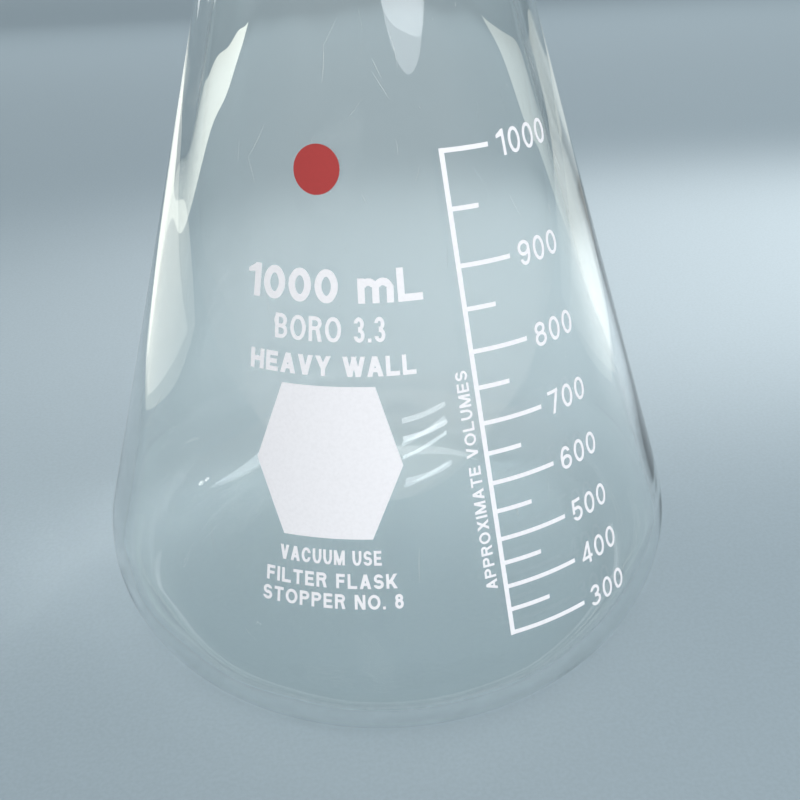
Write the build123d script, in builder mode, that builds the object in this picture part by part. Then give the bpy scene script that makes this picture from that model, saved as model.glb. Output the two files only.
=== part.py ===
"""Conical filter flask, 1000 mL, heavy wall, with a hose side arm and fired enamel print.

Millimetres, +Z up. The origin is the centre of the base, on the surface that the flask stands on.
Azimuths are degrees round the Z axis, from the front (-Y) towards the side arm (+X).
"""

import os
from functools import cache
from math import acos, asin, atan, atan2, cos, degrees, pi, radians, sin, sqrt, tan

from build123d import *

# ---- vessel ----
base_diameter = 136.0
overall_height = 230.0
wall = 3.5
heel_low_radius = 13.0  # the heel is two tangent arcs, tight below and open above
heel_high_radius = 28.0
heel_split_angle = 38.3  # how far below level the two arcs meet
foot_ring_width = 6.0  # flat ring that touches the bench
punt_height = 2.2  # push-up under the middle of the base
base_thickness = 4.8  # at the middle

# ---- neck and mouth ----
neck_diameter = 46.0
neck_share = 0.7576  # of the overall height, where the cone carried on would meet the neck
mouth_bore_diameter = 37.5  # takes a number 8 stopper, 33 to 41 mm across
shoulder_radius = 25.0  # blend from the cone to the neck
rim_overhang = 4.0  # of the bead, all round the neck
rim_height = 8.0
rim_flare = 3.0  # height of the slope under the rim
rim_edge_radius = 3.2
rim_neck_radius = 3.0
mouth_edge_radius = 1.6

# ---- side arm ----
arm_drop = 27.0  # of its axis, below the top of the rim
arm_tip_reach = 64.0  # from the flask's axis
arm_diameter = 9.5
arm_bore_diameter = 6.5
arm_weld_radius = 4.0  # fillet of the seal to the neck
arm_tip_round = 0.7
olive_diameter = 11.2
olive_count = 3
olive_pitch = 5.5
olive_setback = 4.0  # plain nose before the first olive
nose_diameter = 8.4

# ---- fired enamel ----
enamel_thickness = 0.08
letter_reach = 4.0  # how far a character is carried through the wall before it is trimmed
artwork_reach = 18.0  # the same for artwork as tall as the cone
print_low = 24.0
print_high = 127.0

# ---- volume scale ----
# height of each numbered mark, by volume in mL; the marks between stand half way
mark_heights = {
    300: 30.9,
    400: 40.5,
    500: 50.2,
    600: 61.4,
    700: 73.0,
    800: 86.4,
    900: 101.8,
    1000: 121.5,
}
spine_width = 0.95
tick_thickness = 0.8
spine_foot_azimuth = 21.0
spine_lean = 0.0247  # degrees lost for each mm of height
minor_tip_foot_azimuth = 29.1
minor_tip_lean = 0.0305
major_tip_foot_azimuth = 36.3
major_tip_lean = 0.0435
tick_droop = 0.04  # fall for each mm along a mark
numeral_height = 4.5
numeral_stroke = 0.62
numeral_gap = 2.1
numeral_drop = 2.95  # baseline below its mark
numeral_space = 0.22  # all spaces are shares of the cap height
caption_cap_height = 2.35
caption_stroke = 0.42
caption_space = 0.2
caption_text = "APPROXIMATE VOLUMES"
caption_foot_azimuth = 19.3  # of its baseline, at the lowest mark
caption_foot = 40.8
caption_length = 42.6

# ---- label block ----
dot_azimuth = -14.2
dot_height = 119.6
dot_diameter = 8.4
spot_azimuth = -11.4
spot_low = 53.9
spot_waist = 67.7
spot_high = 82.35
spot_top_width = 17.6
spot_waist_width = 28.2
spot_base_width = 17.4

# text, baseline height, first and last azimuth, cap height, stroke, space between characters
label_lines = {
    "capacity_label": ("1000 mL", 97.1, -31.0, 10.1, 5.85, 1.27, 0.12),
    "glass_label": ("BORO 3.3", 90.3, -23.4, 1.2, 4.4, 0.66, 0.2),
    "wall_label": ("HEAVY WALL", 84.2, -29.0, 7.3, 3.6, 0.8, 0.15),
    "duty_label": ("VACUUM USE", 48.8, -20.4, -1.6, 2.85, 0.5, 0.18),
    "type_label": ("FILTER FLASK", 44.2, -22.9, 1.0, 2.85, 0.54, 0.2),
    "stopper_label": ("STOPPER NO. 8", 40.1, -23.5, 1.9, 2.9, 0.54, 0.2),
}

# ---- worked out from the sizes above ----
base_radius = base_diameter / 2
neck_radius = neck_diameter / 2
bore_radius = mouth_bore_diameter / 2
rim_diameter = neck_diameter + 2 * rim_overhang
arm_height = overall_height - arm_drop
split_angle = radians(heel_split_angle)
heel_low_x = base_radius - heel_high_radius + (heel_high_radius - heel_low_radius) * cos(split_angle)
heel_low_centre = Vector(heel_low_x, heel_low_radius)
heel_high_z = heel_low_radius + (heel_high_radius - heel_low_radius) * sin(split_angle)
heel_high_centre = Vector(base_radius - heel_high_radius, heel_high_z)
foot_inner_radius = heel_low_x - foot_ring_width
to_neck = Vector(neck_radius, neck_share * overall_height) - heel_high_centre
wall_angle = atan2(to_neck.Y, to_neck.X) - acos(heel_high_radius / to_neck.length)
cone_slope = tan(wall_angle)  # loss of radius for each mm of height
scale_volumes = sorted(mark_heights)
scale_foot = mark_heights[scale_volumes[0]]
scale_top = mark_heights[scale_volumes[-1]]
neighbours = zip(scale_volumes, scale_volumes[1:])
middle_heights = [(mark_heights[low] + mark_heights[high]) / 2 for low, high in neighbours]


def arc_point(centre, radius, angle):
    """Point on a circle, in the plane of the section, at an angle in radians above outward."""
    return centre + Vector(radius * cos(angle), radius * sin(angle))


cone_foot = arc_point(heel_high_centre, heel_high_radius, wall_angle)
cone_foot_inside = arc_point(heel_high_centre, heel_high_radius - wall, wall_angle)


def outside_radius(height):
    """Radius of the outside of the vessel, on the cone and on the upper heel."""
    if height >= cone_foot.Y:
        return cone_foot.X - cone_slope * (height - cone_foot.Y)
    rise = height - heel_high_centre.Y
    return heel_high_centre.X + sqrt(heel_high_radius**2 - rise**2)


def shoulder(foot, radius, blend):
    """The blend from a cone through foot to a cylinder: where it starts, its middle and its end."""
    corner_z = foot.Y + (foot.X - radius) / cone_slope
    reach = blend * tan(wall_angle / 2)
    end = Vector(radius, corner_z + reach)
    centre = end + Vector(blend, 0)
    start = arc_point(centre, blend, pi + wall_angle)
    middle = arc_point(centre, blend, pi + wall_angle / 2)
    return start, middle, end


def corner_at(x, y):
    """The corner of the sketch being built that lies nearest to x, y."""
    return vertices().sort_by_distance(Vector(x, y, 0))[0]


def azimuth_of(arc_length, height):
    """Degrees that a length along the surface turns through at a height."""
    return degrees(arc_length / outside_radius(height))


# ---- vessel: one blown glass body, base to rim ----
shoulder_start, shoulder_middle, shoulder_end = shoulder(cone_foot, neck_radius, shoulder_radius)
throat_blend = shoulder_radius + neck_radius - bore_radius
throat_start, throat_middle, throat_end = shoulder(cone_foot_inside, bore_radius, throat_blend)
rim_low = overall_height - rim_height
heel_inner_low = heel_low_radius - wall
floor_z = punt_height + base_thickness
floor_drop = heel_low_radius - floor_z
dome_radius = (floor_drop**2 + heel_low_x**2 - heel_inner_low**2) / (2 * (heel_inner_low - floor_drop))
dome_centre = Vector(0, floor_z - dome_radius)
dome_angle = asin(heel_low_x / (dome_radius + heel_inner_low))
dome_edge = dome_centre + Vector(dome_radius * sin(dome_angle), dome_radius * cos(dome_angle))
dome_middle = dome_centre + Vector(dome_radius * sin(dome_angle / 2), dome_radius * cos(dome_angle / 2))
heel_inner_middle = arc_point(heel_low_centre, heel_inner_low, (-pi / 2 - dome_angle - split_angle) / 2)

with BuildPart() as vessel:
    with BuildSketch(Plane.XZ):
        with BuildLine():
            # outside, from the middle of the base to the rim
            punt_sag = punt_height * 0.75
            ThreePointArc((0, punt_height), (foot_inner_radius / 2, punt_sag), (foot_inner_radius, 0))
            Line((foot_inner_radius, 0), (heel_low_x, 0))
            heel_split = arc_point(heel_low_centre, heel_low_radius, -split_angle)
            heel_low_middle = arc_point(heel_low_centre, heel_low_radius, -(pi / 2 + split_angle) / 2)
            ThreePointArc((heel_low_x, 0), heel_low_middle, heel_split)
            heel_high_middle = arc_point(heel_high_centre, heel_high_radius, (wall_angle - split_angle) / 2)
            ThreePointArc(heel_split, heel_high_middle, cone_foot)
            Line(cone_foot, shoulder_start)
            ThreePointArc(shoulder_start, shoulder_middle, shoulder_end)
            Line(shoulder_end, (neck_radius, rim_low - rim_flare))
            Line((neck_radius, rim_low - rim_flare), (rim_diameter / 2, rim_low))
            Line((rim_diameter / 2, rim_low), (rim_diameter / 2, overall_height))
            Line((rim_diameter / 2, overall_height), (bore_radius, overall_height))
            # inside, from the rim back to the middle of the floor
            Line((bore_radius, overall_height), throat_end)
            ThreePointArc(throat_end, throat_middle, throat_start)
            Line(throat_start, cone_foot_inside)
            heel_inner_high = heel_high_radius - wall
            heel_inner_split = arc_point(heel_high_centre, heel_inner_high, -split_angle)
            inner_high_middle = arc_point(heel_high_centre, heel_inner_high, (wall_angle - split_angle) / 2)
            ThreePointArc(cone_foot_inside, inner_high_middle, heel_inner_split)
            ThreePointArc(heel_inner_split, heel_inner_middle, dome_edge)
            ThreePointArc(dome_edge, dome_middle, (0, floor_z))
            Line((0, floor_z), (0, punt_height))
        make_face()
        fillet(corner_at(rim_diameter / 2, rim_low), rim_edge_radius)
        fillet(corner_at(rim_diameter / 2, overall_height), rim_edge_radius)
        fillet(corner_at(bore_radius, overall_height), mouth_edge_radius)
        fillet(corner_at(neck_radius, rim_low - rim_flare), rim_neck_radius)
    revolve(axis=Axis.Z)
    with BuildSketch(Plane.YZ.offset(bore_radius - 1)):
        with Locations((0, arm_height)):
            Circle(arm_bore_diameter / 2)
    extrude(amount=neck_radius - bore_radius + 2, mode=Mode.SUBTRACT)


# ---- side arm: a drawn tube sealed to the neck, with rounded hose olives and a plain nose ----
olives_start = arm_tip_reach - olive_setback - olive_count * olive_pitch
arm_radius = arm_diameter / 2
with BuildPart() as side_arm:
    with BuildSketch(Plane.XY.offset(arm_height - arm_diameter)):
        Circle(neck_radius)
    extrude(amount=2 * arm_diameter)
    with BuildSketch(Plane.YZ.offset(neck_radius / 2)):
        with Locations((0, arm_height)):
            Circle(arm_radius)
    extrude(amount=olives_start - neck_radius / 2)
    seal = edges().filter_by(GeomType.BSPLINE)
    fillet(seal, arm_weld_radius)
    with BuildSketch(Plane.XZ):
        with BuildLine():
            Line((olives_start, arm_height), (olives_start, arm_height + arm_radius))
            for number in range(olive_count):
                olive_at = olives_start + number * olive_pitch
                crown = (olive_at + olive_pitch / 2, arm_height + olive_diameter / 2)
                olive_end = (olive_at + olive_pitch, arm_height + arm_radius)
                ThreePointArc((olive_at, arm_height + arm_radius), crown, olive_end)
            Line(olive_end, (olive_end[0], arm_height + nose_diameter / 2))
            nose_top = arm_height + nose_diameter / 2
            Line((olive_end[0], nose_top), (arm_tip_reach, nose_top))
            Line((arm_tip_reach, nose_top), (arm_tip_reach, arm_height))
            Line((arm_tip_reach, arm_height), (olives_start, arm_height))
        make_face()
        fillet(corner_at(arm_tip_reach, nose_top), arm_tip_round)
    revolve(axis=Axis((0, 0, arm_height), (1, 0, 0)))
    with BuildSketch(Plane.XY.offset(arm_height - 1.5 * arm_diameter)):
        Circle(neck_radius)
    extrude(amount=3 * arm_diameter, mode=Mode.SUBTRACT)
    with BuildSketch(Plane.YZ.offset(neck_radius / 2)):
        with Locations((0, arm_height)):
            Circle(arm_bore_diameter / 2)
    extrude(amount=arm_tip_reach, mode=Mode.SUBTRACT)


# ---- lettering: plain strokes of one weight with square ends, drawn from (0, 0) ----
def bar(x0, y0, x1, y1, mode=Mode.ADD):
    """An upright rectangle between two corners."""
    with Locations(((x0 + x1) / 2, (y0 + y1) / 2)):
        Rectangle(abs(x1 - x0), abs(y1 - y0), mode=mode)


def slant(x0, y0, x1, y1, breadth):
    """A sloping stroke with level ends: breadth is measured level, from the left edge."""
    Polygon((x0, y0), (x0 + breadth, y0), (x1 + breadth, y1), (x1, y1), align=None)


def oval(x0, y0, x1, y1, inset, mode):
    """An oval of four tangent arcs in a frame, or the line a given inset within it."""
    half, rise = (x1 - x0) / 2, (y1 - y0) / 2
    middle_x, middle_y = (x0 + x1) / 2, (y0 + y1) / 2
    if rise < 1.25 * half or inset > 0.6 * half:
        with Locations((middle_x, middle_y)):
            Ellipse(half - inset, rise - inset, mode=mode)
        return
    end_radius = 0.8 * half
    side_radius = (half**2 + (rise - end_radius) ** 2 - end_radius**2) / (2 * (half - end_radius))
    end_centre = Vector(middle_x, middle_y + rise - end_radius)
    side_centre = Vector(middle_x + half - side_radius, middle_y)
    joint = end_centre + (end_centre - side_centre).normalized() * (end_radius - inset)
    right_top = Vector(joint.X, joint.Y)
    left_top = Vector(2 * middle_x - joint.X, joint.Y)
    left_low = Vector(left_top.X, 2 * middle_y - joint.Y)
    right_low = Vector(right_top.X, left_low.Y)
    with BuildLine() as outline:
        ThreePointArc(right_top, (middle_x, y1 - inset), left_top)
        ThreePointArc(left_top, (x0 + inset, middle_y), left_low)
        ThreePointArc(left_low, (middle_x, y0 + inset), right_low)
        ThreePointArc(right_low, (x1 - inset, middle_y), right_top)
    make_face(outline.edges(), mode=mode)


def ring(x0, y0, x1, y1, stroke):
    """A closed oval stroke."""
    oval(x0, y0, x1, y1, 0, Mode.ADD)
    oval(x0, y0, x1, y1, stroke, Mode.SUBTRACT)


def bowl(x0, y0, x1, y1, stroke):
    """A stroke that runs right from x0, turns round and comes back, as in P."""
    for inset, mode in ((0, Mode.ADD), (stroke, Mode.SUBTRACT)):
        turn = (y1 - y0) / 2 - inset
        bar(x0, y0 + inset, x1 - inset - turn, y1 - inset, mode)
        with Locations((x1 - inset - turn, (y0 + y1) / 2)):
            Circle(turn, mode=mode)


def figure_1(w, h, s):
    bar(w - s, 0, w, h)
    Polygon((0, 0.70 * h), (w - s / 2, 0.76 * h), (w - s / 2, h), (w - 0.8 * s, h), (0, 0.82 * h), align=None)


def figure_3(w, h, s):
    ring(0.04 * w, 0.46 * h, 0.96 * w, h, s)
    bar(0, 0.5 * h, 0.42 * w, 0.77 * h, Mode.SUBTRACT)
    ring(0, 0, w, 0.56 * h, s)
    bar(-0.1 * w, 0.24 * h, 0.42 * w, 0.6 * h, Mode.SUBTRACT)


def figure_4(w, h, s):
    bar(0.84 * w - s, 0, 0.84 * w, h)
    bar(0, 0.22 * h, w, 0.22 * h + 0.9 * s)
    slant(0, 0.22 * h + 0.4 * s, 0.84 * w - s, h, s)


def figure_5(w, h, s):
    ring(0, 0, w, 0.66 * h, s)
    bar(-0.1 * w, 0.22 * h, 0.4 * w, 0.52 * h, Mode.SUBTRACT)
    slant(0.04 * w, 0.36 * h, 0.14 * w, h, 0.95 * s)
    bar(0.14 * w, h - s, 0.92 * w, h)


def figure_6(w, h, s):
    ring(0, 0, w, h, s)
    bar(0.5 * w, 0.3 * h, 1.1 * w, 0.74 * h, Mode.SUBTRACT)
    ring(0, 0, w, 0.62 * h, s)


def figure_7(w, h, s):
    bar(0, h - s, w, h)
    slant(0.22 * w, 0, w - 1.05 * s, h - s / 2, 1.05 * s)


def figure_8(w, h, s):
    ring(0.05 * w, 0.47 * h, 0.95 * w, h, s)
    ring(0, 0, w, 0.47 * h + s, s)


def figure_9(w, h, s):
    ring(0, 0, w, h, s)
    bar(-0.1 * w, 0.26 * h, 0.5 * w, 0.7 * h, Mode.SUBTRACT)
    ring(0, 0.38 * h, w, h, s)


def letter_a(w, h, s):
    bar(0.2 * w, 0.22 * h, 0.8 * w, 0.22 * h + 0.9 * s)
    slant(0, 0, 0.5 * w - 0.6 * s, h, 1.15 * s)
    slant(w - 1.15 * s, 0, 0.5 * w - 0.55 * s, h, 1.15 * s)


def letter_b(w, h, s):
    bowl(s / 2, 0, w, 0.5 * h + s / 2, s)
    bowl(s / 2, 0.5 * h - s / 2, 0.94 * w, h, s)
    bar(0, 0, s, h)


def letter_c(w, h, s):
    ring(0, 0, w, h, s)
    bar(0.55 * w, 0.34 * h, 1.1 * w, 0.66 * h, Mode.SUBTRACT)


def letter_e(w, h, s):
    letter_f(w, h, s)
    bar(0, 0, w, s)


def letter_f(w, h, s):
    bar(0, 0, s, h)
    bar(0, h - s, 0.97 * w, h)
    bar(0, 0.5 * h - 0.5 * s, 0.9 * w, 0.5 * h + 0.5 * s)


def letter_h(w, h, s):
    bar(0, 0, s, h)
    bar(w - s, 0, w, h)
    bar(0, 0.5 * h - 0.5 * s, w, 0.5 * h + 0.5 * s)


def letter_i(w, h, s):
    bar((w - s) / 2, 0, (w + s) / 2, h)


def letter_k(w, h, s):
    slant(0.4 * s, 0.32 * h, w - 1.3 * s, h, 1.25 * s)
    slant(w - 1.3 * s, 0, 0.22 * w, 0.6 * h, 1.3 * s)
    bar(0, 0, s, h)


def letter_l(w, h, s):
    bar(0, 0, s, h)
    bar(0, 0, w, s)


def letter_m(w, h, s):
    slant(0.5 * w - 0.5 * s, 0, 0, h, 1.1 * s)
    slant(0.5 * w - 0.6 * s, 0, w - 1.1 * s, h, 1.1 * s)
    bar(0, 0, 0.95 * s, h)
    bar(w - 0.95 * s, 0, w, h)


def letter_n(w, h, s):
    slant(w - 1.2 * s, 0, 0, h, 1.2 * s)
    bar(0, 0, s, h)
    bar(w - s, 0, w, h)


def letter_o(w, h, s):
    ring(0, 0, w, h, s)


def letter_p(w, h, s):
    bowl(s / 2, 0.42 * h, w, h, s)
    bar(0, 0, s, h)


def letter_r(w, h, s):
    bowl(s / 2, 0.45 * h, 0.97 * w, h, s)
    slant(w - 1.1 * s, 0, 0.5 * w, 0.45 * h + s / 2, 1.1 * s)
    bar(0, 0, s, h)


def letter_s(w, h, s):
    ring(0.04 * w, 0.5 * h - 0.56 * s, 0.96 * w, h, s)
    bar(0.58 * w, 0.5 * h - s, 1.1 * w, 0.76 * h, Mode.SUBTRACT)
    with BuildSketch(mode=Mode.PRIVATE) as lower:
        ring(0, 0, w, 0.5 * h + 0.56 * s, s)
        bar(-0.1 * w, 0.25 * h, 0.42 * w, 0.5 * h + s, Mode.SUBTRACT)
    add(lower.sketch)


def letter_t(w, h, s):
    bar((w - s) / 2, 0, (w + s) / 2, h)
    bar(0, h - s, w, h)


def letter_u(w, h, s):
    ring(0, 0, w, h, s)
    bar(-0.1 * w, 0.5 * h, 1.1 * w, 1.1 * h, Mode.SUBTRACT)
    bar(0, 0.45 * h, s, h)
    bar(w - s, 0.45 * h, w, h)


def letter_v(w, h, s):
    slant(0.5 * w - 0.6 * s, 0, 0, h, 1.15 * s)
    slant(0.5 * w - 0.55 * s, 0, w - 1.15 * s, h, 1.15 * s)


def letter_w(w, h, s):
    for left in (0, 0.5 * w - 0.55 * s):
        slant(left + 0.22 * w, 0, left, h, 1.1 * s)
        slant(left + 0.22 * w, 0, left + 0.44 * w, h, 1.1 * s)


def letter_x(w, h, s):
    slant(0, 0, w - 1.25 * s, h, 1.25 * s)
    slant(w - 1.25 * s, 0, 0, h, 1.25 * s)


def letter_y(w, h, s):
    slant(0.5 * w - 0.6 * s, 0.4 * h, 0, h, 1.15 * s)
    slant(0.5 * w - 0.55 * s, 0.4 * h, w - 1.15 * s, h, 1.15 * s)
    bar((w - s) / 2, 0, (w + s) / 2, 0.45 * h)


def letter_small_m(w, h, s):
    x_height = 0.74 * h
    for left in (0, 0.5 * w - s / 2):
        right = left + 0.5 * w + s / 2
        ring(left, x_height - 1.1 * (right - left), right, x_height, s)
        bar(left - s / 10, -h, right + s / 10, x_height - 0.4 * (right - left), Mode.SUBTRACT)
    for left in (0, 0.5 * w - s / 2, w - s):
        bar(left, 0, left + s, x_height - 0.35 * (0.5 * w + s / 2))
    bar(0, 0, s, x_height)


def full_stop(w, h, s):
    bar((w - s) / 2, 0, (w + s) / 2, s)


# character: how it is drawn, and its width as a share of the cap height
glyphs = {
    "0": (letter_o, 0.68),
    "1": (figure_1, 0.42),
    "3": (figure_3, 0.64),
    "4": (figure_4, 0.68),
    "5": (figure_5, 0.64),
    "6": (figure_6, 0.66),
    "7": (figure_7, 0.62),
    "8": (figure_8, 0.66),
    "9": (figure_9, 0.66),
    "A": (letter_a, 0.86),
    "B": (letter_b, 0.78),
    "C": (letter_c, 0.86),
    "E": (letter_e, 0.70),
    "F": (letter_f, 0.68),
    "H": (letter_h, 0.80),
    "I": (letter_i, 0.18),
    "K": (letter_k, 0.84),
    "L": (letter_l, 0.72),
    "M": (letter_m, 0.98),
    "N": (letter_n, 0.82),
    "O": (letter_o, 0.96),
    "P": (letter_p, 0.76),
    "R": (letter_r, 0.80),
    "S": (letter_s, 0.76),
    "T": (letter_t, 0.76),
    "U": (letter_u, 0.80),
    "V": (letter_v, 0.82),
    "W": (letter_w, 1.14),
    "X": (letter_x, 0.84),
    "Y": (letter_y, 0.84),
    "m": (letter_small_m, 1.02),
    ".": (full_stop, 0.18),
}
word_space = 0.34  # a share of the cap height


@cache
def glyph(character, width, height, stroke):
    """The flat artwork of one character."""
    draw, share = glyphs[character]
    with BuildSketch() as artwork:
        draw(width, height, stroke)
    return artwork.sketch


def wall_plane(azimuth, height):
    """Upright plane that touches the outside of the vessel: X runs to the right, Y up, Z outward."""
    turn = radians(azimuth)
    outward = Vector(sin(turn), -cos(turn), 0)
    level = Vector(cos(turn), sin(turn), 0)
    return Plane(outward * outside_radius(height) + Vector(0, 0, height), x_dir=level, z_dir=outward)


def shares_of(text, space):
    """The width of each character, and of the whole line, as shares of the cap height."""
    shares = [word_space if character == " " else glyphs[character][1] for character in text]
    return shares, sum(shares) + space * (len(text) - 1)


def spaced(text, length, space):
    """Each character of a line that fills a length, with where it starts and its width."""
    shares, total = shares_of(text, space)
    scale = length / total
    places, at = [], 0.0
    for character, share in zip(text, shares):
        if character != " ":
            places.append((character, at, share * scale))
        at += (share + space) * scale
    return places


# ---- enamel: flat artwork carried through the wall, then trimmed to a thin skin on the glass ----
with BuildPart() as enamel_skin:
    with BuildSketch(Plane.XZ):
        with BuildLine():
            low = Vector(outside_radius(print_low), print_low)
            low_angle = asin((print_low - heel_high_centre.Y) / heel_high_radius)
            outer_radius = heel_high_radius + enamel_thickness
            outer_low = arc_point(heel_high_centre, outer_radius, low_angle)
            outer_foot = arc_point(heel_high_centre, outer_radius, wall_angle)
            outer_high = outer_foot + Vector(-cone_slope, 1) * (print_high - cone_foot.Y)
            middle_angle = (low_angle + wall_angle) / 2
            ThreePointArc(low, arc_point(heel_high_centre, heel_high_radius, middle_angle), cone_foot)
            Line(cone_foot, (outside_radius(print_high), print_high))
            Line((outside_radius(print_high), print_high), outer_high)
            Line(outer_high, outer_foot)
            ThreePointArc(outer_foot, arc_point(heel_high_centre, outer_radius, middle_angle), outer_low)
            Line(outer_low, low)
        make_face()
    revolve(axis=Axis.Z)


def printed_line(text, baseline, first_azimuth, last_azimuth, cap_height, stroke, space, droop=0.0):
    """A line of characters round the vessel, each drawn flat where it stands."""
    arc_length = radians(last_azimuth - first_azimuth) * outside_radius(baseline)
    with BuildPart() as line:
        for character, start, width in spaced(text, arc_length, space):
            middle = start + width / 2
            foot = baseline - droop * middle
            with BuildSketch(wall_plane(first_azimuth + azimuth_of(middle, baseline), foot)):
                with Locations((-width / 2, 0)):
                    add(glyph(character, width, cap_height, stroke))
            extrude(amount=letter_reach, both=True)
        add(enamel_skin.part, mode=Mode.INTERSECT)
    return line.part


def leaning(foot_azimuth, lean, height):
    """Azimuth of one of the scale's leaning edges at a height."""
    return foot_azimuth - lean * (height - scale_foot)


def graduations(heights, tip_foot, tip_lean):
    """Marks at some heights, each running right from the spine's edge to its tip."""
    with BuildPart() as marks:
        for height in heights:
            first = leaning(spine_foot_azimuth, spine_lean, height)
            last = leaning(tip_foot, tip_lean, height)
            length = radians(last - first) * outside_radius(height)
            with BuildSketch(wall_plane((first + last) / 2, height)):
                with Locations((0, -tick_droop * length / 2)):
                    Rectangle(length, tick_thickness, rotation=-degrees(atan(tick_droop)))
            extrude(amount=letter_reach, both=True)
        add(enamel_skin.part, mode=Mode.INTERSECT)
        add(graduation_spine.part, mode=Mode.SUBTRACT)
    return marks.part


pieces = {"vessel": vessel.part, "side_arm": side_arm.part}

spine_length = scale_top - scale_foot + 1.1 * tick_thickness
spine_middle = (scale_top + scale_foot) / 2
spine_shift = radians(spine_lean) * outside_radius(spine_middle)
with BuildPart() as graduation_spine:
    with BuildSketch(wall_plane(leaning(spine_foot_azimuth, spine_lean, spine_middle), spine_middle)):
        Rectangle(spine_width, spine_length, rotation=degrees(atan(spine_shift)))
    extrude(amount=artwork_reach, both=True)
    add(enamel_skin.part, mode=Mode.INTERSECT)
pieces["graduation_spine"] = graduation_spine.part

pieces["major_graduations"] = graduations(mark_heights.values(), major_tip_foot_azimuth, major_tip_lean)
pieces["minor_graduations"] = graduations(middle_heights, minor_tip_foot_azimuth, minor_tip_lean)

for volume, mark in mark_heights.items():
    figures = str(volume)
    baseline = mark - numeral_drop
    first = leaning(major_tip_foot_azimuth, major_tip_lean, mark) + azimuth_of(numeral_gap, baseline)
    last = first + azimuth_of(shares_of(figures, numeral_space)[1] * numeral_height, baseline)
    lettering = (numeral_height, numeral_stroke, numeral_space, tick_droop)
    pieces[f"numeral_{figures}"] = printed_line(figures, baseline, first, last, *lettering)

# the caption reads upwards, along the left of the spine
with BuildPart() as scale_caption:
    for character, start, width in spaced(caption_text, caption_length, caption_space):
        middle = caption_foot + start + width / 2
        upright = wall_plane(leaning(caption_foot_azimuth, spine_lean, middle), middle)
        sideways = Plane(upright.origin, x_dir=(0, 0, 1), z_dir=upright.z_dir)
        with BuildSketch(sideways):
            with Locations((-width / 2, 0)):
                add(glyph(character, width, caption_cap_height, caption_stroke))
        extrude(amount=letter_reach, both=True)
    add(enamel_skin.part, mode=Mode.INTERSECT)
pieces["scale_caption"] = scale_caption.part

for name, line_sizes in label_lines.items():
    pieces[name] = printed_line(*line_sizes)

# the marking spot: a plain six-sided patch for writing on
with BuildPart() as marking_spot:
    with BuildSketch(wall_plane(spot_azimuth, spot_waist)):
        rise = spot_high - spot_waist
        fall = spot_low - spot_waist
        half_top = spot_top_width / 2
        half_waist = spot_waist_width / 2
        half_base = spot_base_width / 2
        right_side = [(half_base, fall), (half_waist, 0), (half_top, rise)]
        left_side = [(-half_top, rise), (-half_waist, 0), (-half_base, fall)]
        Polygon(*right_side, *left_side, align=None)
    extrude(amount=artwork_reach, both=True)
    add(enamel_skin.part, mode=Mode.INTERSECT)
pieces["marking_spot"] = marking_spot.part

with BuildPart() as index_dot:
    with BuildSketch(wall_plane(dot_azimuth, dot_height)):
        Circle(dot_diameter / 2)
    extrude(amount=artwork_reach, both=True)
    add(enamel_skin.part, mode=Mode.INTERSECT)
pieces["index_dot"] = index_dot.part

os.makedirs("parts", exist_ok=True)
for name, piece in pieces.items():
    piece.label = name
    export_step(piece, f"parts/{name}.step")
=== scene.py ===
"""Filter flask, 1000 mL: clear heavy-wall glass with fired enamel print, on a pale paper sweep.

Sizes are in millimetres in the row frame (+Z up, origin at the centre of the base) and are turned
into metres where a mesh is made.
"""

from math import acos, asin, atan2, cos, pi, radians, sin, sqrt, tan

import bmesh
import bpy
import numpy as np
from mathutils import Matrix, Vector


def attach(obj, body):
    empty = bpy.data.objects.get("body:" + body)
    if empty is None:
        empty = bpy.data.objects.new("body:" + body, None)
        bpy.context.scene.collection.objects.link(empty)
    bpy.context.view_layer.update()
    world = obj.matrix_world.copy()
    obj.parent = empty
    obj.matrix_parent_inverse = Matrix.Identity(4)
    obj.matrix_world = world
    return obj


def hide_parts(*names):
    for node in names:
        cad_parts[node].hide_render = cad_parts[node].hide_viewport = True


MM = 0.001

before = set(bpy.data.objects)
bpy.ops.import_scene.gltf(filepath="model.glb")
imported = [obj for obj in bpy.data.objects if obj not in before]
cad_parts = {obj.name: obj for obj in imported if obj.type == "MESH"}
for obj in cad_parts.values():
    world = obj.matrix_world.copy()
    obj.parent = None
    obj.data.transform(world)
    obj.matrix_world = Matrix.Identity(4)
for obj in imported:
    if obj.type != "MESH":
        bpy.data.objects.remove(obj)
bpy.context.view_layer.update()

# ---- sizes of the glass, as in the CAD ----
BASE_R = 68.0
HEIGHT = 230.0
WALL = 3.5
HEEL_LOW = 13.0
HEEL_HIGH = 28.0
HEEL_SPLIT = radians(38.3)
FOOT_RING = 6.0
PUNT = 2.2
BASE_THICK = 4.8
NECK_R = 23.0
NECK_CORNER_Z = 0.7576 * HEIGHT  # where the cone carried on would meet the neck
BORE_R = 18.75
SHOULDER = 25.0
RIM_R = 27.0
RIM_HEIGHT = 8.0
RIM_FLARE = 3.0
RIM_EDGE = 3.2
RIM_NECK = 3.0
MOUTH_EDGE = 1.6
ARM_Z = 203.0
ARM_TIP = 64.0
ARM_R = 4.75
ARM_BORE_R = 3.25
ARM_WELD = 4.0
ARM_ROOT = 1.2  # how deep the side arm's glass starts in the neck wall
OLIVE_R = 5.6
OLIVE_PITCH = 5.5
OLIVES = 3
OLIVES_END = 60.0
NOSE_R = 4.2
NOSE_ROUND = 0.7
TIP_BEVEL = 0.25

AROUND = 320  # faces round the vessel
ARM_AROUND = 96  # faces round the side arm
WAVY_TOP = 168.0  # the glass is even above this height


# ---- section of the vessel ----
def on_circle(centre, radius, angle):
    return (centre[0] + radius * cos(angle), centre[1] + radius * sin(angle))


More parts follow.
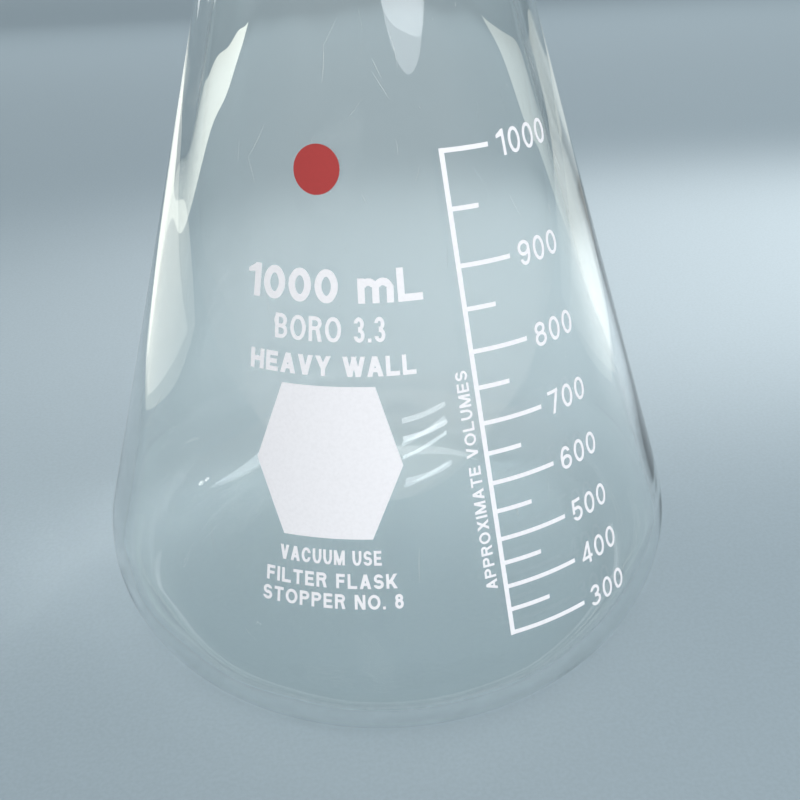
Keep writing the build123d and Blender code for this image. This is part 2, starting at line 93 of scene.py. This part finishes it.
def arc(centre, radius, start, end, step):
    """Points along an arc, both ends included, no further apart than a step."""
    count = max(3, int(abs(end - start) * radius / step) + 1)
    return [on_circle(centre, radius, start + (end - start) * i / count) for i in range(count + 1)]


def line(start, end, step):
    """Points along a line, both ends included."""
    length = sqrt((end[0] - start[0]) ** 2 + (end[1] - start[1]) ** 2)
    count = max(1, int(length / step) + 1)
    shares = [i / count for i in range(count + 1)]
    return [(start[0] + (end[0] - start[0]) * s, start[1] + (end[1] - start[1]) * s) for s in shares]


def rounded(before, corner, after, radius, step):
    """The fillet of a corner between two straight runs."""
    a = Vector(before) - Vector(corner)
    b = Vector(after) - Vector(corner)
    a.normalize()
    b.normalize()
    half = a.angle(b) / 2
    bisector = (a + b).normalized()
    centre = Vector(corner) + bisector * (radius / sin(half))
    first = Vector(corner) + a * (radius / tan(half)) - centre
    last = Vector(corner) + b * (radius / tan(half)) - centre
    start = atan2(first.y, first.x)
    turn = (atan2(last.y, last.x) - start + pi) % (2 * pi) - pi
    return arc(centre, radius, start, start + turn, step)


low_x = BASE_R - HEEL_HIGH + (HEEL_HIGH - HEEL_LOW) * cos(HEEL_SPLIT)
low_centre = (low_x, HEEL_LOW)
high_centre = (BASE_R - HEEL_HIGH, HEEL_LOW + (HEEL_HIGH - HEEL_LOW) * sin(HEEL_SPLIT))
foot_inner = low_x - FOOT_RING
to_neck = Vector((NECK_R, NECK_CORNER_Z)) - Vector(high_centre)
WALL_ANGLE = atan2(to_neck.y, to_neck.x) - acos(HEEL_HIGH / to_neck.length)
SLOPE = tan(WALL_ANGLE)
cone_foot = on_circle(high_centre, HEEL_HIGH, WALL_ANGLE)
cone_foot_inside = on_circle(high_centre, HEEL_HIGH - WALL, WALL_ANGLE)
floor_z = PUNT + BASE_THICK
inner_low = HEEL_LOW - WALL
drop = HEEL_LOW - floor_z
dome_r = (drop**2 + low_x**2 - inner_low**2) / (2 * (inner_low - drop))
dome_angle = asin(low_x / (dome_r + inner_low))


def shoulder(foot, radius, blend):
    """Centre of the blend from a cone to a cylinder."""
    corner_z = foot[1] + (foot[0] - radius) / SLOPE
    return (radius + blend, corner_z + blend * tan(WALL_ANGLE / 2))


def outer_section():
    """From the middle of the base, out and up to the neck, the rim and the mouth."""
    points = []
    for i in range(25):
        x = foot_inner * i / 24
        points.append((x, PUNT * (1 - (x / foot_inner) ** 2)))
    points += line((foot_inner, 0), (low_x, 0), 1.5)[1:]
    points += arc(low_centre, HEEL_LOW, -pi / 2, -HEEL_SPLIT, 1.0)[1:]
    points += arc(high_centre, HEEL_HIGH, -HEEL_SPLIT, WALL_ANGLE, 1.3)[1:]
    centre = shoulder(cone_foot, NECK_R, SHOULDER)
    start = on_circle(centre, SHOULDER, pi + WALL_ANGLE)
    points += line(cone_foot, start, 4.5)[1:]
    points += arc(centre, SHOULDER, pi + WALL_ANGLE, pi, 1.2)[1:]
    rim_low = HEIGHT - RIM_HEIGHT
    neck_top = (NECK_R, rim_low - RIM_FLARE)
    rim_side = (RIM_R, rim_low)
    rim_top = (RIM_R, HEIGHT)
    flare = rounded(points[-1], neck_top, rim_side, RIM_NECK, 0.4)
    points += line(points[-1], flare[0], 4.0)[1:] + flare[1:]
    points += rounded(neck_top, rim_side, rim_top, RIM_EDGE, 0.35)
    points += rounded(rim_side, rim_top, (BORE_R, HEIGHT), RIM_EDGE, 0.35)
    points += rounded(rim_top, (BORE_R, HEIGHT), (BORE_R, rim_low), MOUTH_EDGE, 0.35)
    return points


def inner_section(mouth):
    """From the mouth down the bore to the middle of the floor."""
    blend = SHOULDER + NECK_R - BORE_R
    centre = shoulder(cone_foot_inside, BORE_R, blend)
    points = line(mouth, on_circle(centre, blend, pi), 3.0)[1:]
    throat = arc(centre, blend, pi, pi + WALL_ANGLE, 1.2)[1:]
    points += throat
    points += line(throat[-1], cone_foot_inside, 3.5)[1:]
    points += arc(high_centre, HEEL_HIGH - WALL, WALL_ANGLE, -HEEL_SPLIT, 1.3)[1:]
    points += arc(low_centre, inner_low, -HEEL_SPLIT, -pi / 2 - dome_angle, 1.0)[1:]
    points += arc((0, floor_z - dome_r), dome_r, pi / 2 - dome_angle, pi / 2, 2.2)[1:]
    return points


outer = outer_section()
inner = inner_section(outer[-1])


# ---- meshes ----
def mesh_object(name, vertices, faces):
    """A smooth-shaded object from vertices in millimetres."""
    mesh = bpy.data.meshes.new(name)
    mesh.from_pydata((np.asarray(vertices) * MM).tolist(), [], faces)
    mesh.update()
    obj = bpy.data.objects.new(name, mesh)
    bpy.context.scene.collection.objects.link(obj)
    mesh.shade_smooth()
    return obj


def blown(r, z, azimuth):
    """Blown glass isn't quite even: how far its inside strays from the true section."""
    fade = np.clip((r - 6.0) / 20.0, 0, 1)
    slow = 0.16 * np.sin(2 * azimuth + 0.8 + z / 47.0) + 0.12 * np.sin(5 * azimuth + z / 33.0 + 2.1)
    quick = 0.05 * np.sin(11 * azimuth - z / 24.0 + 0.5) + 0.03 * np.sin(17 * azimuth + z / 15.0)
    rings = 0.06 * np.sin(z / 7.0 + 1.3 * np.sin(azimuth))
    return fade * (slow + quick + rings)


def lathe(name, section, first_inside):
    """A closed body from a section that starts and ends on the axis."""
    middle = section[1:-1]
    r = np.array([p[0] for p in middle])[:, None]
    z = np.array([p[1] for p in middle])[:, None]
    azimuth = np.arange(AROUND)[None, :] * 2 * pi / AROUND
    inside = (np.arange(len(middle)) >= first_inside)[:, None]
    radius = r + np.where(inside & (z < WAVY_TOP), blown(r, z, azimuth), 0.0)
    x, y = radius * np.cos(azimuth), radius * np.sin(azimuth)
    height = np.broadcast_to(z, x.shape)
    vertices = np.stack([x, y, height], axis=-1).reshape(-1, 3)
    rows = len(middle)
    faces = []
    for i in range(rows - 1):
        for j in range(AROUND):
            k = (j + 1) % AROUND
            faces.append((i * AROUND + j, i * AROUND + k, (i + 1) * AROUND + k, (i + 1) * AROUND + j))
    bottom, top = rows * AROUND, rows * AROUND + 1
    vertices = np.vstack([vertices, (0, 0, section[0][1]), (0, 0, section[-1][1])])
    for j in range(AROUND):
        k = (j + 1) % AROUND
        faces.append((bottom, k, j))
        faces.append((top, (rows - 1) * AROUND + j, (rows - 1) * AROUND + k))
    return mesh_object(name, vertices, faces)


def arm_tube():
    """The side arm as a closed tube: its seal to the neck, the olives, the nose and the bore."""
    rings = []
    turn = np.arange(ARM_AROUND) * 2 * pi / ARM_AROUND

    def ring(radius, x):
        rings.append(np.stack([x, radius * np.sin(turn), ARM_Z + radius * np.cos(turn)], axis=-1))

    def level_ring(radius, x):
        ring(radius, np.full(ARM_AROUND, x))

    def neck_x(radius, around=NECK_R):
        return np.sqrt(around**2 - (radius * np.sin(turn)) ** 2)

    foot = ARM_R + ARM_WELD
    ring(foot, neck_x(foot, NECK_R - ARM_ROOT))
    for i in range(13):
        phi = pi / 2 * (1 - i / 12)
        radius = ARM_R + ARM_WELD * (1 - cos(phi))
        ring(radius, neck_x(radius) + ARM_WELD * (1 - sin(phi)))
    start = OLIVES_END - OLIVES * OLIVE_PITCH
    steps = 10
    last = rings[-1][:, 0]
    for i in range(1, steps + 1):
        ring(ARM_R, last + (start - last) * i / steps)
    rise = OLIVE_R - ARM_R
    olive_r = (rise**2 + (OLIVE_PITCH / 2) ** 2) / (2 * rise)
    for number in range(OLIVES):
        for i in range(1, 13):
            x = OLIVE_PITCH * (i / 12 - 0.5)
            radius = ARM_R + rise - olive_r + sqrt(olive_r**2 - x**2)
            level_ring(radius, start + OLIVE_PITCH * (number + i / 12))
    level_ring(NOSE_R, OLIVES_END + TIP_BEVEL)
    level_ring(NOSE_R, ARM_TIP - NOSE_ROUND)
    for i in range(1, 7):
        phi = pi / 2 * i / 6
        level_ring(NOSE_R - NOSE_ROUND * (1 - cos(phi)), ARM_TIP - NOSE_ROUND * (1 - sin(phi)))
    level_ring(ARM_BORE_R + TIP_BEVEL, ARM_TIP)
    tip = ARM_TIP - TIP_BEVEL
    level_ring(ARM_BORE_R, tip)
    steps = 12
    inner_end = neck_x(ARM_BORE_R, NECK_R - ARM_ROOT)
    for i in range(1, steps + 1):
        ring(ARM_BORE_R, tip + (inner_end - tip) * i / steps)
    vertices = np.vstack(rings)
    count = len(rings)
    faces = []
    for i in range(count):
        following = (i + 1) % count
        for j in range(ARM_AROUND):
            k = (j + 1) % ARM_AROUND
            a, b = i * ARM_AROUND, following * ARM_AROUND
            faces.append((a + j, b + j, b + k, a + k))
    return mesh_object("arm_tube", vertices, faces)


def rod(name, radius, x0, x1):
    """A cylinder along X at the height of the side arm."""
    turn = np.arange(ARM_AROUND) * 2 * pi / ARM_AROUND
    rings = [
        np.stack([np.full(ARM_AROUND, x), radius * np.sin(turn), ARM_Z + radius * np.cos(turn)], axis=-1)
        for x in (x0, x1)
    ]
    faces = [tuple(reversed(range(ARM_AROUND))), tuple(range(ARM_AROUND, 2 * ARM_AROUND))]
    for j in range(ARM_AROUND):
        k = (j + 1) % ARM_AROUND
        faces.append((j, k, ARM_AROUND + k, ARM_AROUND + j))
    return mesh_object(name, np.vstack(rings), faces)


def face_outward(obj):
    """Turns every face of a closed mesh outward."""
    bm = bmesh.new()
    bm.from_mesh(obj.data)
    bmesh.ops.recalc_face_normals(bm, faces=bm.faces)
    bm.to_mesh(obj.data)
    bm.free()


def boolean(target, other, operation):
    """Applies an exact boolean and removes the other object."""
    modifier = target.modifiers.new(operation, "BOOLEAN")
    modifier.operation = operation
    modifier.solver = "EXACT"
    modifier.object = other
    graph = bpy.context.evaluated_depsgraph_get()
    made = bpy.data.meshes.new_from_object(target.evaluated_get(graph))
    target.modifiers.clear()
    target.data = made
    bpy.data.objects.remove(other)


flask = lathe("glass_body", outer + inner, len(outer) - 1)
tube = arm_tube()
bore = rod("arm_bore", ARM_BORE_R, BORE_R - 4.75, NECK_R - ARM_ROOT / 2)
for part in (flask, tube, bore):
    face_outward(part)
boolean(flask, tube, "UNION")
boolean(flask, bore, "DIFFERENCE")
flask.data.shade_smooth()
flask.data.set_sharp_from_angle(angle=radians(50))
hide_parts("vessel", "side_arm")
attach(flask, "root")
flask.visible_shadow = False  # light passes straight through to the paper inside and under it


# ---- materials ----
def new_material(name):
    """A node material with its Principled shader, and a helper's view of its nodes and links."""
    material = bpy.data.materials.new(name)
    material.use_nodes = True
    nodes, links = material.node_tree.nodes, material.node_tree.links
    return material, nodes, links, nodes["Principled BSDF"]


def fine_grain(nodes, links, scale, detail):
    """Noise fixed to the object, as its output socket."""
    place = nodes.new("ShaderNodeTexCoord")
    grain = nodes.new("ShaderNodeTexNoise")
    grain.inputs["Scale"].default_value = scale
    grain.inputs["Detail"].default_value = detail
    links.new(place.outputs["Object"], grain.inputs["Vector"])
    return grain.outputs["Fac"]


def ramp(nodes, links, source, *stops):
    """A socket's value turned into colour, from one (position, colour) stop to the other."""
    tone = nodes.new("ShaderNodeValToRGB")
    for element, (position, colour) in zip(tone.color_ramp.elements, stops):
        element.position = position
        element.color = (*colour, 1)
    links.new(source, tone.inputs["Fac"])
    return tone.outputs["Color"]


def clear_glass():
    material, nodes, links, shader = new_material("clear_glass")
    shader.inputs["Base Color"].default_value = (0.975, 0.99, 0.985, 1)
    shader.inputs["Roughness"].default_value = 0.0
    shader.inputs["IOR"].default_value = 1.473
    shader.inputs["Transmission Weight"].default_value = 1.0
    volume = nodes.new("ShaderNodeVolumeAbsorption")
    volume.inputs["Color"].default_value = (0.80, 0.93, 0.88, 1)
    volume.inputs["Density"].default_value = 9.0
    links.new(volume.outputs["Volume"], nodes["Material Output"].inputs["Volume"])
    return material


def enamel(name, colour, rough):
    """Fired enamel: a dense satin coat with a fine grain in its colour and gloss."""
    material, nodes, links, shader = new_material(name)
    grain = fine_grain(nodes, links, 1600.0, 4.0)
    shade = [c * 0.96 for c in colour]
    tone = ramp(nodes, links, grain, (0.3, shade), (0.6, colour))
    links.new(tone, shader.inputs["Base Color"])
    bump = nodes.new("ShaderNodeBump")
    bump.inputs["Strength"].default_value = 0.15
    bump.inputs["Distance"].default_value = 0.03 * MM
    links.new(grain, bump.inputs["Height"])
    links.new(bump.outputs["Normal"], shader.inputs["Normal"])
    shader.inputs["Roughness"].default_value = rough
    return material


glass = clear_glass()
flask.data.materials.clear()
flask.data.materials.append(glass)
white = enamel("white_enamel", (0.90, 0.90, 0.94), 0.38)
red = enamel("red_enamel", (0.42, 0.03, 0.03), 0.35)
for node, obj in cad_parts.items():
    if node in ("vessel", "side_arm"):
        continue
    obj.data.materials.clear()
    obj.data.materials.append(red if node == "index_dot" else white)


# ---- wear: hairline scratches and specks on the outside of the cone ----
WEAR_LIFT = 0.02  # keeps the marks just clear of the glass


def wear_marks(count):
    """Fine slivers that follow the cone."""
    chance = np.random.default_rng(7)
    vertices, faces = [], []
    steps = 6
    for number in range(count):
        azimuth = chance.uniform(-pi, pi)
        z = chance.uniform(38.0, 150.0)
        speck = number % 3 == 0
        length = chance.uniform(0.3, 0.8) if speck else chance.uniform(1.5, 8.0)
        half_width = chance.uniform(0.02, 0.045)
        lean = chance.normal(0.0, 0.35)
        bow = chance.uniform(-0.06, 0.06) * length
        first = len(vertices)
        for i in range(steps + 1):
            share = i / steps - 0.5
            taper = half_width * (1 - (2 * share) ** 2) + 0.004
            across = length * share * sin(lean) + bow * (1 - 4 * share**2)
            height = z + length * share * cos(lean)
            radius = cone_foot[0] - SLOPE * (height - cone_foot[1]) + WEAR_LIFT
            for side in (-taper, taper):
                turn = azimuth + (across + side) / radius
                vertices.append((radius * sin(turn), -radius * cos(turn), height))
        for i in range(steps):
            a = first + 2 * i
            faces.append((a, a + 1, a + 3, a + 2))
    obj = mesh_object("wear_marks", vertices, faces)
    material, _, _, shader = new_material("wear")
    shader.inputs["Base Color"].default_value = (0.85, 0.87, 0.87, 1)
    shader.inputs["Roughness"].default_value = 0.7
    shader.inputs["Alpha"].default_value = 0.5
    obj.data.materials.append(material)
    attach(obj, "root")


wear_marks(90)


# ---- paper sweep ----
PAPER_Z = -0.12  # paper fibres keep the foot of the glass a hair above the sheet


def paper():
    material, nodes, links, shader = new_material("paper")
    grain = fine_grain(nodes, links, 1100.0, 6.0)
    tone = ramp(nodes, links, grain, (0.35, (0.335, 0.415, 0.465)), (0.65, (0.355, 0.44, 0.495)))
    links.new(tone, shader.inputs["Base Color"])
    shader.inputs["Roughness"].default_value = 0.85
    return material


def sweep():
    """A level floor that curves up into a backdrop far behind the flask."""
    half, front, bend_y, bend_r, top = 1800.0, -1500.0, 820.0, 400.0, 2200.0
    section = [(front, PAPER_Z), (bend_y, PAPER_Z)]
    for i in range(1, 33):
        angle = pi / 2 * i / 32
        section.append((bend_y + bend_r * sin(angle), PAPER_Z + bend_r * (1 - cos(angle))))
    section.append((bend_y + bend_r, top))
    vertices, faces = [], []
    for y, z in section:
        vertices += [(-half, y, z), (half, y, z)]
    for i in range(len(section) - 1):
        faces.append((2 * i, 2 * i + 1, 2 * i + 3, 2 * i + 2))
    obj = mesh_object("paper_sweep", vertices, faces)
    obj.data.materials.append(paper())


sweep()


# ---- light ----
COOL = (0.95, 0.98, 1.0)
WARM = (1.0, 0.975, 0.85)
PLAIN = (1.0, 0.99, 0.97)
SUNNY = (1.0, 0.91, 0.85)


def hang(name, light, place, aim):
    """Puts a light in the scene and turns it to its aim."""
    obj = bpy.data.objects.new(name, light)
    bpy.context.scene.collection.objects.link(obj)
    obj.location = Vector(place) * MM
    obj.rotation_euler = (Vector(aim) - Vector(place)).to_track_quat("-Z", "Y").to_euler()
    return obj


def softbox(name, place, aim, width, height, watts, colour):
    """A flat soft light, wide by high."""
    light = bpy.data.lights.new(name, "AREA")
    light.shape = "RECTANGLE"
    light.size, light.size_y = width * MM, height * MM
    light.energy = watts
    light.color = colour
    return hang(name, light, place, aim)


softbox("overhead", (720, -20, 760), (360, -90, 0), 600, 420, 2.1, COOL)
back = softbox("back_low", (-20, 740, 160), (0, 0, 30), 1100, 110, 0.5, PLAIN)
back.visible_camera = False
for side in (-1, 1):
    # bright reflectors that lie on the paper at each side: they show only in the glass
    place, aim = (485 * side, 450, 2), (485 * side, 450, 100)
    card = softbox(f"reflector_{side + 1}", place, aim, 540, 700, 0.66 - 0.28 * side, WARM)
    card.visible_camera = False
window = softbox("front_window", (470, -880, 760), (0, 0, 120), 760, 560, 4.4, COOL)
window.data.shape = "ELLIPSE"
# slits of a blind behind the camera: the fine streaks on the front of the cone
for height, watts in ((106, 0.035), (86, 0.05), (40, 0.03)):
    softbox(f"blind_{height}", (290, -960, height), (0, 0, 70), 330, 6, watts, COOL)


def pool_of_light(place, aim, cone, blend, watts):
    """A low spotlight that lays a long soft pool of light on the paper."""
    light = bpy.data.lights.new("pool", "SPOT")
    light.spot_size = radians(cone)
    light.spot_blend = blend
    light.energy = watts
    light.color = SUNNY
    light.shadow_soft_size = 50 * MM
    hang("pool", light, place, aim)


pool_of_light((1500, 360, 620), (140, 180, 0), 13.0, 1.0, 175.0)


def room():
    """Soft light from all round, brighter from behind the camera than from beyond the sweep."""
    world = bpy.data.worlds.new("room")
    bpy.context.scene.world = world
    world.use_nodes = True
    nodes, links = world.node_tree.nodes, world.node_tree.links
    place = nodes.new("ShaderNodeTexCoord")
    split = nodes.new("ShaderNodeSeparateXYZ")
    links.new(place.outputs["Generated"], split.inputs["Vector"])
    reach = nodes.new("ShaderNodeMapRange")
    reach.inputs["From Min"].default_value = 0.4
    reach.inputs["From Max"].default_value = -0.7
    links.new(split.outputs["Y"], reach.inputs["Value"])
    tone = ramp(nodes, links, reach.outputs["Result"], (0.0, (0.20, 0.23, 0.25)), (1.0, (1.02, 1.0, 0.97)))
    links.new(tone, nodes["Background"].inputs["Color"])
    nodes["Background"].inputs["Strength"].default_value = 1.0


room()


# ---- camera ----
CAMERA_PLACE = (0, -216.69, 178.19)
PITCH, YAW, ROLL = 0.538, 0.019, -0.0388
FOCAL_LENGTH = 47.02
SENSOR_WIDTH = 36.0
forward = Vector((sin(YAW) * cos(PITCH), cos(YAW) * cos(PITCH), -sin(PITCH)))
level_right = Vector((cos(YAW), -sin(YAW), 0))
level_up = level_right.cross(forward)
right = level_right * cos(ROLL) + level_up * sin(ROLL)
up = level_up * cos(ROLL) - level_right * sin(ROLL)
lens = bpy.data.cameras.new("camera")
lens.sensor_width = SENSOR_WIDTH
lens.lens = FOCAL_LENGTH
lens.clip_start = 10 * MM
camera = bpy.data.objects.new("camera", lens)
bpy.context.scene.collection.objects.link(camera)
turn = Matrix((right, up, -forward)).transposed().to_4x4()
camera.matrix_world = Matrix.Translation(Vector(CAMERA_PLACE) * MM) @ turn
bpy.context.scene.camera = camera
bpy.context.scene.view_settings.view_transform = "Standard"
